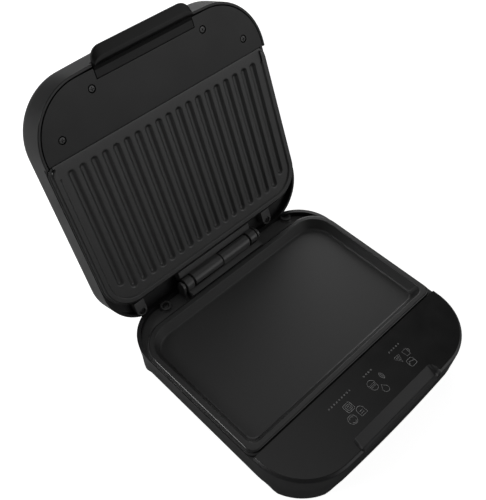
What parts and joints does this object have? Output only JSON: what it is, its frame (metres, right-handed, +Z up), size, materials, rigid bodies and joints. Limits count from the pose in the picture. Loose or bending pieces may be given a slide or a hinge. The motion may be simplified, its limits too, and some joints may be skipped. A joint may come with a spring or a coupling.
{
  "type": "panini press",
  "caption": "Hinged contact grill, shown open: smooth lower griddle with a raised rim, ribbed upper plate, flat front deck, lip handle and corner legs.",
  "frame": {"origin": "under the middle of the open press, on the surface its feet stand on", "axes": "+X along the hinge to the right as the user sees it, +Y from the front deck to the hinge and the opened lid, +Z up"},
  "size_m": [0.231, 0.324, 0.2531],
  "materials": {
    "housing": "satin black heat-resistant plastic, glossier on the deck",
    "cover": "fine satin black plastic",
    "handle": "satin black plastic",
    "coating": "cast aluminium under a matte dark grey non-stick coating",
    "dark_screw": "blackened steel",
    "steel": "plain steel",
    "aluminium": "bright rolled sheet",
    "rubber": "matte black rubber",
    "sleeve": "woven glass-fibre sleeving",
    "ceramic": "off-white steatite ceramic",
    "lens": "clear red plastic"
  },
  "bodies": {
    "base": {"base_housing": "housing", "bottom_cover": "housing", "griddle_plate": "coating", "lower_heating_element": "steel", "lower_heat_shield": "aluminium", "thermal_fuse": "steel", "terminal_block": "ceramic", "cord_gland": "rubber", "base_lead": "sleeve", "base_hinge_pin": "steel", "foot_pad_front_left": "rubber", "foot_pad_front_right": "rubber", "foot_pad_back_left": "rubber", "foot_pad_back_right": "rubber", "base_hinge_screw_1": "dark_screw", "base_hinge_screw_2": "dark_screw", "base_plate_screw_1": "steel", "base_plate_screw_2": "steel", "base_plate_screw_3": "steel", "base_plate_screw_4": "steel", "bottom_screw_1": "dark_screw", "bottom_screw_2": "dark_screw", "bottom_screw_3": "dark_screw", "bottom_screw_4": "dark_screw"},
    "lid": {"lid_housing": "housing", "lid_cover": "cover", "handle": "handle", "grill_plate": "coating", "upper_heating_element": "steel", "upper_heat_shield": "aluminium", "thermostat": "ceramic", "neon_lamp": "ceramic", "pilot_lens": "lens", "lid_lead": "sleeve", "lid_hinge_pin": "steel", "lid_cover_screw_1": "dark_screw", "lid_cover_screw_2": "dark_screw", "lid_cover_screw_3": "dark_screw", "lid_cover_screw_4": "dark_screw", "lid_hinge_screw_1": "dark_screw", "lid_hinge_screw_2": "dark_screw", "lid_plate_screw_1": "steel", "lid_plate_screw_2": "steel", "lid_plate_screw_3": "steel", "lid_plate_screw_4": "steel"}
  },
  "joints": [
    {"name": "lid_hinge", "type": "hinge", "parent": "base", "child": "lid", "pos_m": [0, 0.0545, 0.0412], "axis": [1, 0, 0], "range_deg": [0, 111.5]}
  ]
}
